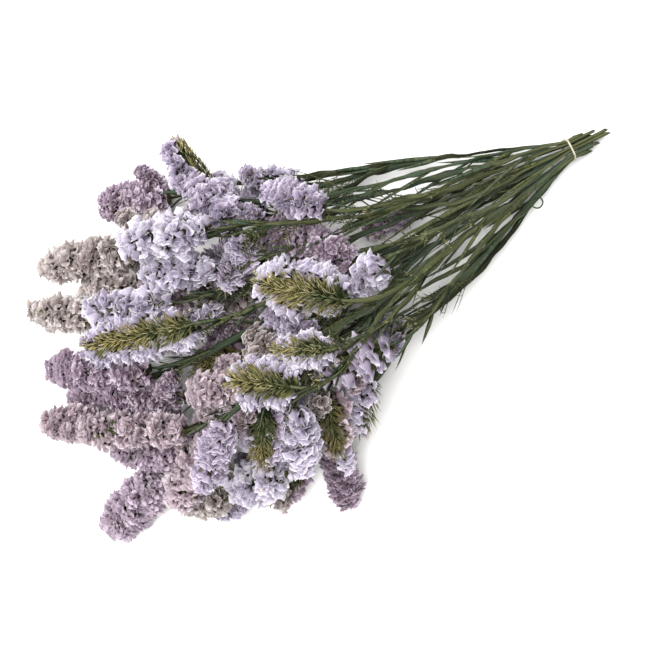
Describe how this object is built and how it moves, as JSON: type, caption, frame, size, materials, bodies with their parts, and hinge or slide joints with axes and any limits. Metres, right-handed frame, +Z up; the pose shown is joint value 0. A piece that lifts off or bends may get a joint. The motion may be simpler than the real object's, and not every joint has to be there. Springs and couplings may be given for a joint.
{
  "type": "dried statice bunch",
  "caption": "Dried statice lying on its side: winged stems held by a band near their cut ends, branching to spikes of papery calyces.",
  "frame": {"origin": "middle of the bunch in plan, on the surface that it lies on", "axes": "+X along the bunch towards the cut stem ends, the heads fan out towards -X; +Z up from the surface"},
  "size_m": [0.5667, 0.3531, 0.1437],
  "materials": {
    "lilac": "pale lilac papery calyces, matte",
    "ice": "bluish white papery calyces, matte",
    "cream": "creamy white papery calyces, matte",
    "blush": "pale pinkish papery calyces, matte",
    "mauve": "dusty mauve papery calyces, matte",
    "green": "dried olive green stems, matte, with fine ridges",
    "band": "cream rubber band, satin"
  },
  "bodies": {
    "root": {"stem_upper_far": "green", "stem_upper_mid": "green", "stem_upper_near": "green", "stem_middle_far": "green", "stem_middle_mid": "green", "stem_middle_near": "green", "stem_lower_far": "green", "stem_lower_mid": "green", "stem_lower_near": "green", "head_01": "lilac", "head_02": "ice", "head_03": "ice", "head_04": "ice", "head_05": "lilac", "head_06": "mauve", "head_07": "ice", "head_08": "ice", "head_09": "lilac", "head_10": "ice", "head_11": "ice", "head_12": "lilac", "head_13": "ice", "head_14": "lilac", "head_15": "lilac", "head_16": "lilac", "head_17": "cream", "head_18": "ice", "head_19": "blush", "head_20": "cream", "head_21": "mauve", "head_22": "blush", "head_23": "lilac", "head_24": "blush", "head_25": "blush", "head_26": "cream", "head_27": "ice", "head_28": "blush", "head_29": "lilac", "head_30": "ice", "head_31": "mauve", "head_32": "ice", "head_33": "ice", "head_34": "cream", "head_35": "cream", "head_36": "mauve", "head_37": "mauve", "head_38": "blush", "head_39": "mauve", "head_40": "mauve", "head_41": "mauve", "head_42": "mauve", "head_43": "mauve", "head_44": "cream", "head_45": "lilac", "head_46": "mauve", "head_47": "mauve", "head_48": "lilac", "tie": "band"}
  },
  "joints": []
}
